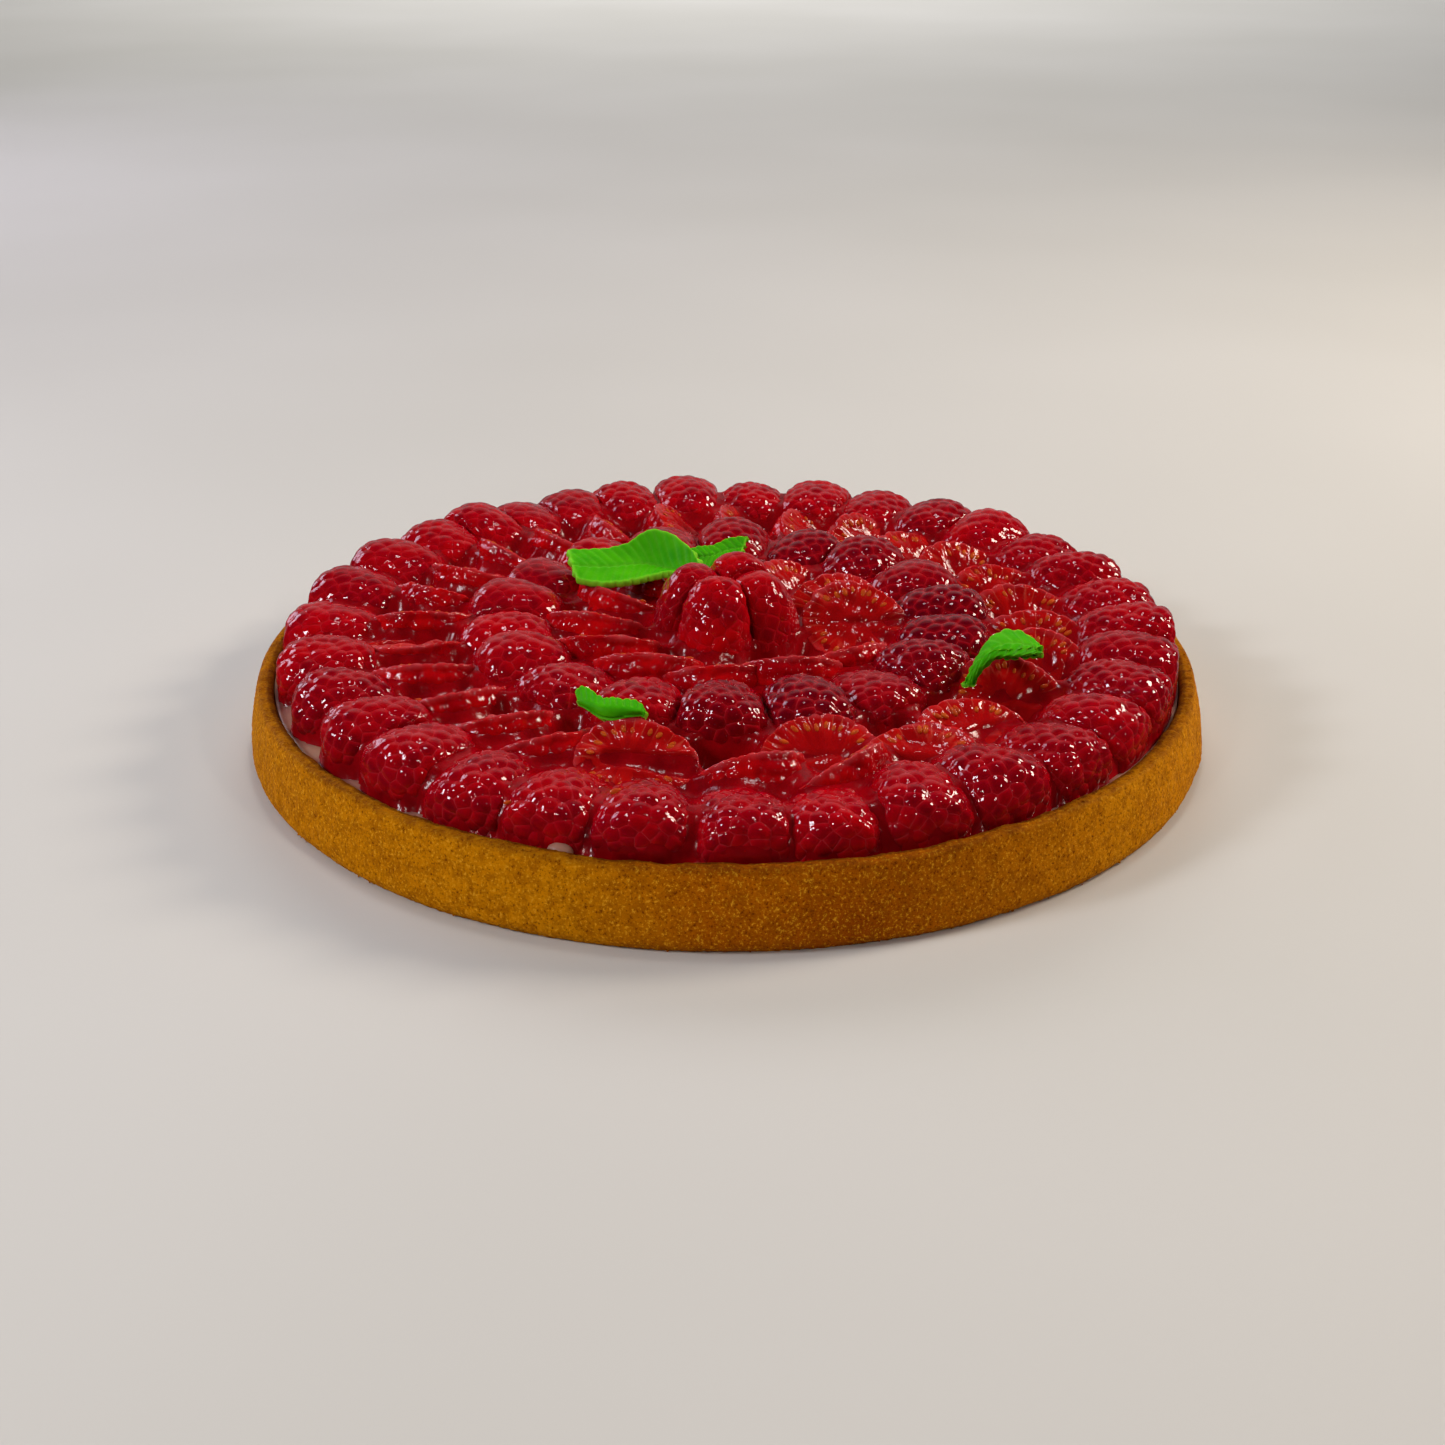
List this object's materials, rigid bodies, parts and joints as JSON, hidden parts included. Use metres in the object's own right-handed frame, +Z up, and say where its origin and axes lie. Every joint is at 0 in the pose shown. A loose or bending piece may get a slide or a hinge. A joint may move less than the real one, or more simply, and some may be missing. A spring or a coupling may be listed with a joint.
{
  "type": "raspberry tart",
  "caption": "Round shallow tart: a straight-walled shortcrust case filled with pastry cream, covered with rings of whole and halved glazed raspberries and green sugar leaves.",
  "frame": {"origin": "centre of the case's flat underside, which rests on the surface", "axes": "+Z up; +X to the right of the picture's view and +Y away from its viewer"},
  "size_m": [0.246, 0.2458, 0.0426],
  "materials": {
    "crust": "baked shortcrust: golden ochre, sandy, browner along the rim",
    "cream": "pastry cream tinted pink by fruit glaze, smooth and wet",
    "whole_fruit": "deep crimson raspberry under a clear wet glaze",
    "cut_fruit": "cut raspberry: brighter red, with pale walls and seeds under the glaze",
    "leaves": "bright green sugar paste, soft satin"
  },
  "bodies": {
    "root": {"crust": "crust", "cream": "cream", "outer_berry_01": "whole_fruit", "outer_berry_02": "whole_fruit", "outer_berry_03": "whole_fruit", "outer_berry_04": "whole_fruit", "outer_berry_05": "whole_fruit", "outer_berry_06": "whole_fruit", "outer_berry_07": "whole_fruit", "outer_berry_08": "whole_fruit", "outer_berry_09": "whole_fruit", "outer_berry_10": "whole_fruit", "outer_berry_11": "whole_fruit", "outer_berry_12": "whole_fruit", "outer_berry_13": "whole_fruit", "outer_berry_14": "whole_fruit", "outer_berry_15": "whole_fruit", "outer_berry_16": "whole_fruit", "outer_berry_17": "whole_fruit", "outer_berry_18": "whole_fruit", "outer_berry_19": "whole_fruit", "outer_berry_20": "whole_fruit", "outer_berry_21": "whole_fruit", "outer_berry_22": "whole_fruit", "outer_berry_23": "whole_fruit", "outer_berry_24": "whole_fruit", "outer_berry_25": "whole_fruit", "outer_berry_26": "whole_fruit", "outer_berry_27": "whole_fruit", "outer_berry_28": "whole_fruit", "outer_berry_29": "whole_fruit", "outer_berry_30": "whole_fruit", "outer_berry_31": "whole_fruit", "outer_berry_32": "whole_fruit", "outer_berry_33": "whole_fruit", "inner_berries_1": "whole_fruit", "inner_berries_2": "whole_fruit", "inner_berries_3": "whole_fruit", "inner_berries_4": "whole_fruit", "inner_berries_5": "whole_fruit", "inner_berries_6": "whole_fruit", "centre_berry_01": "whole_fruit", "centre_berry_02": "whole_fruit", "centre_berry_03": "whole_fruit", "centre_berry_04": "whole_fruit", "outer_halves_1": "cut_fruit", "outer_halves_2": "cut_fruit", "outer_halves_3": "cut_fruit", "outer_halves_4": "cut_fruit", "outer_halves_5": "cut_fruit", "outer_halves_6": "cut_fruit", "outer_halves_7": "cut_fruit", "inner_halves_1": "cut_fruit", "inner_halves_2": "cut_fruit", "inner_halves_3": "cut_fruit", "inner_halves_4": "cut_fruit", "leaf_large": "leaves", "leaf_small": "leaves", "leaf_right": "leaves", "leaf_left": "leaves"}
  },
  "joints": []
}
